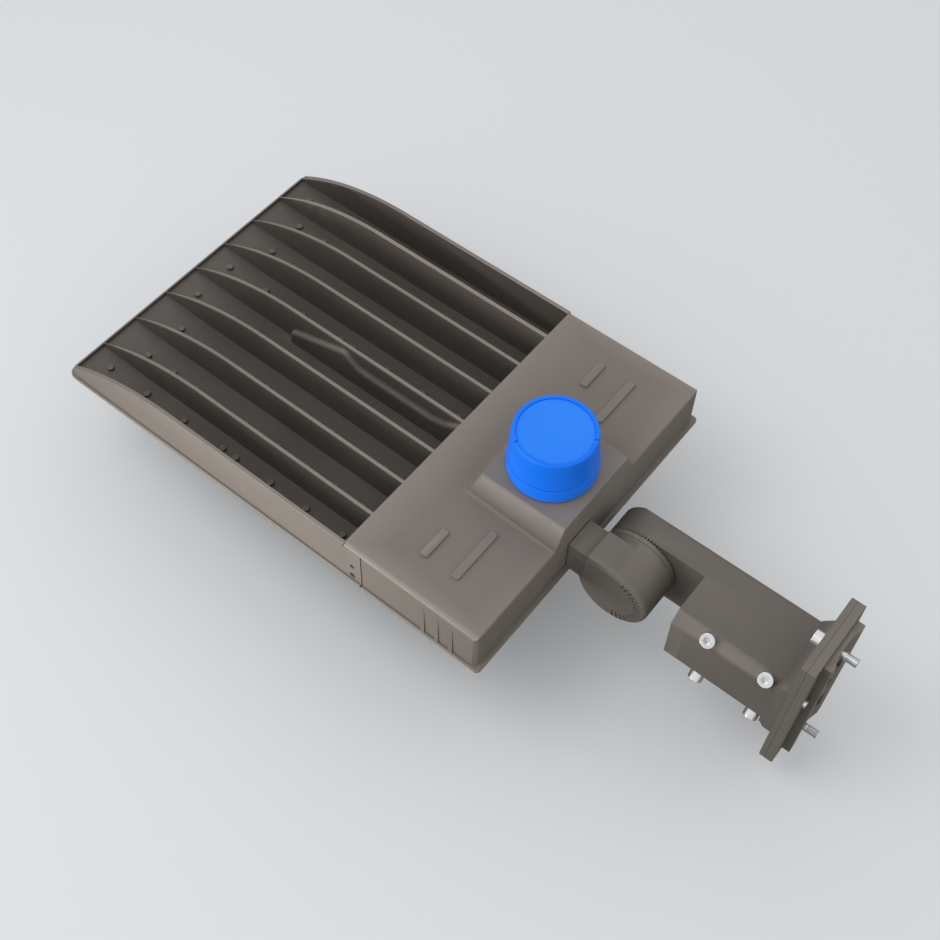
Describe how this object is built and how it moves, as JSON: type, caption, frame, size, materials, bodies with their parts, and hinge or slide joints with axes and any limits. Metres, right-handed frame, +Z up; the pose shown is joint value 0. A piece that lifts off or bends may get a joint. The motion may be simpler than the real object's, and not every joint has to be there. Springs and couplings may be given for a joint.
{
  "type": "shoebox area light",
  "caption": "Flat finned outdoor area light head on a tilting toothed knuckle, with a twist-lock photocell shorting cap and an arm with a tall pole flange.",
  "frame": {"origin": "centre of the pole face: on the arm's middle line, in the plane of the adapter pad's rear lips", "axes": "+Y from the pole to the nose of the head, +X to the right seen from the pole, +Z up"},
  "size_m": [0.331, 0.743, 0.2063],
  "materials": {
    "cast_aluminium_coated": "matt bronze powder coat on an aluminium casting",
    "sheet_coated": "matt bronze powder coat on aluminium sheet",
    "dark_screws": "blackened steel",
    "stainless_screws": "plain stainless steel",
    "bright_bolts": "bright zinc plated steel",
    "ground_green": "green plated steel",
    "white_board": "white solder mask on an aluminium board",
    "led_yellow": "phosphor",
    "lens_plastic": "clear moulded acrylic",
    "black_seal": "silicone rubber",
    "driver_case": "potted driver in an aluminium case",
    "surge_case": "moulded case",
    "black_moulding": "moulded plastic",
    "lead_sheath": "wire insulation",
    "contact_brass": "plain",
    "cap_blue": "blue moulded plastic, satin"
  },
  "bodies": {
    "arm": {"arm": "cast_aluminium_coated", "end_cover": "cast_aluminium_coated", "cover_screws": "dark_screws", "set_screws": "bright_bolts", "pivot_bolt": "bright_bolts", "pivot_washer": "bright_bolts", "pivot_seal": "black_seal", "flange_gasket": "black_seal", "pole_adapter": "cast_aluminium_coated", "adapter_screws": "bright_bolts", "pole_bolts": "bright_bolts"},
    "head": {"heatsink": "cast_aluminium_coated", "driver_housing": "cast_aluminium_coated", "knuckle": "cast_aluminium_coated", "wireway_cover": "sheet_coated", "tab_screws": "dark_screws", "lens_screws": "stainless_screws", "board_screws": "stainless_screws", "wireway_screws": "stainless_screws", "box_screws": "stainless_screws", "knuckle_screws": "stainless_screws", "socket_screws": "stainless_screws", "hinge_pins": "stainless_screws", "ground_screw": "ground_green", "led_boards": "white_board", "led_chips": "led_yellow", "lens_panels": "lens_plastic", "lens_gaskets": "black_seal", "wire_grommet": "black_seal", "socket_gasket": "black_seal", "knuckle_gasket": "black_seal", "door_gasket": "black_seal", "led_driver": "driver_case", "surge_protector": "surge_case", "terminal_block": "black_moulding", "socket": "black_moulding", "led_lead": "lead_sheath", "box_leads": "lead_sheath", "socket_leads": "lead_sheath", "socket_contacts": "contact_brass"},
    "cap": {"shorting_cap": "cap_blue", "cap_base": "black_moulding", "cap_blades": "contact_brass", "cap_seal": "black_seal"},
    "door": {"driver_door": "cast_aluminium_coated", "door_screws": "stainless_screws"}
  },
  "joints": [
    {"name": "tilt", "type": "hinge", "parent": "arm", "child": "head", "pos_m": [0, 0.19, 0], "axis": [1, 0, 0], "range_deg": [-90, 90]},
    {"name": "cap_twist", "type": "hinge", "parent": "head", "child": "cap", "pos_m": [0.0025, 0.285, 0.09], "axis": [0, 0, 1], "range_deg": [0, 35]},
    {"name": "door_swing", "type": "hinge", "parent": "head", "child": "door", "pos_m": [0.0025, 0.375, -0.0022], "axis": [1, 0, 0], "range_deg": [0, 100]}
  ]
}
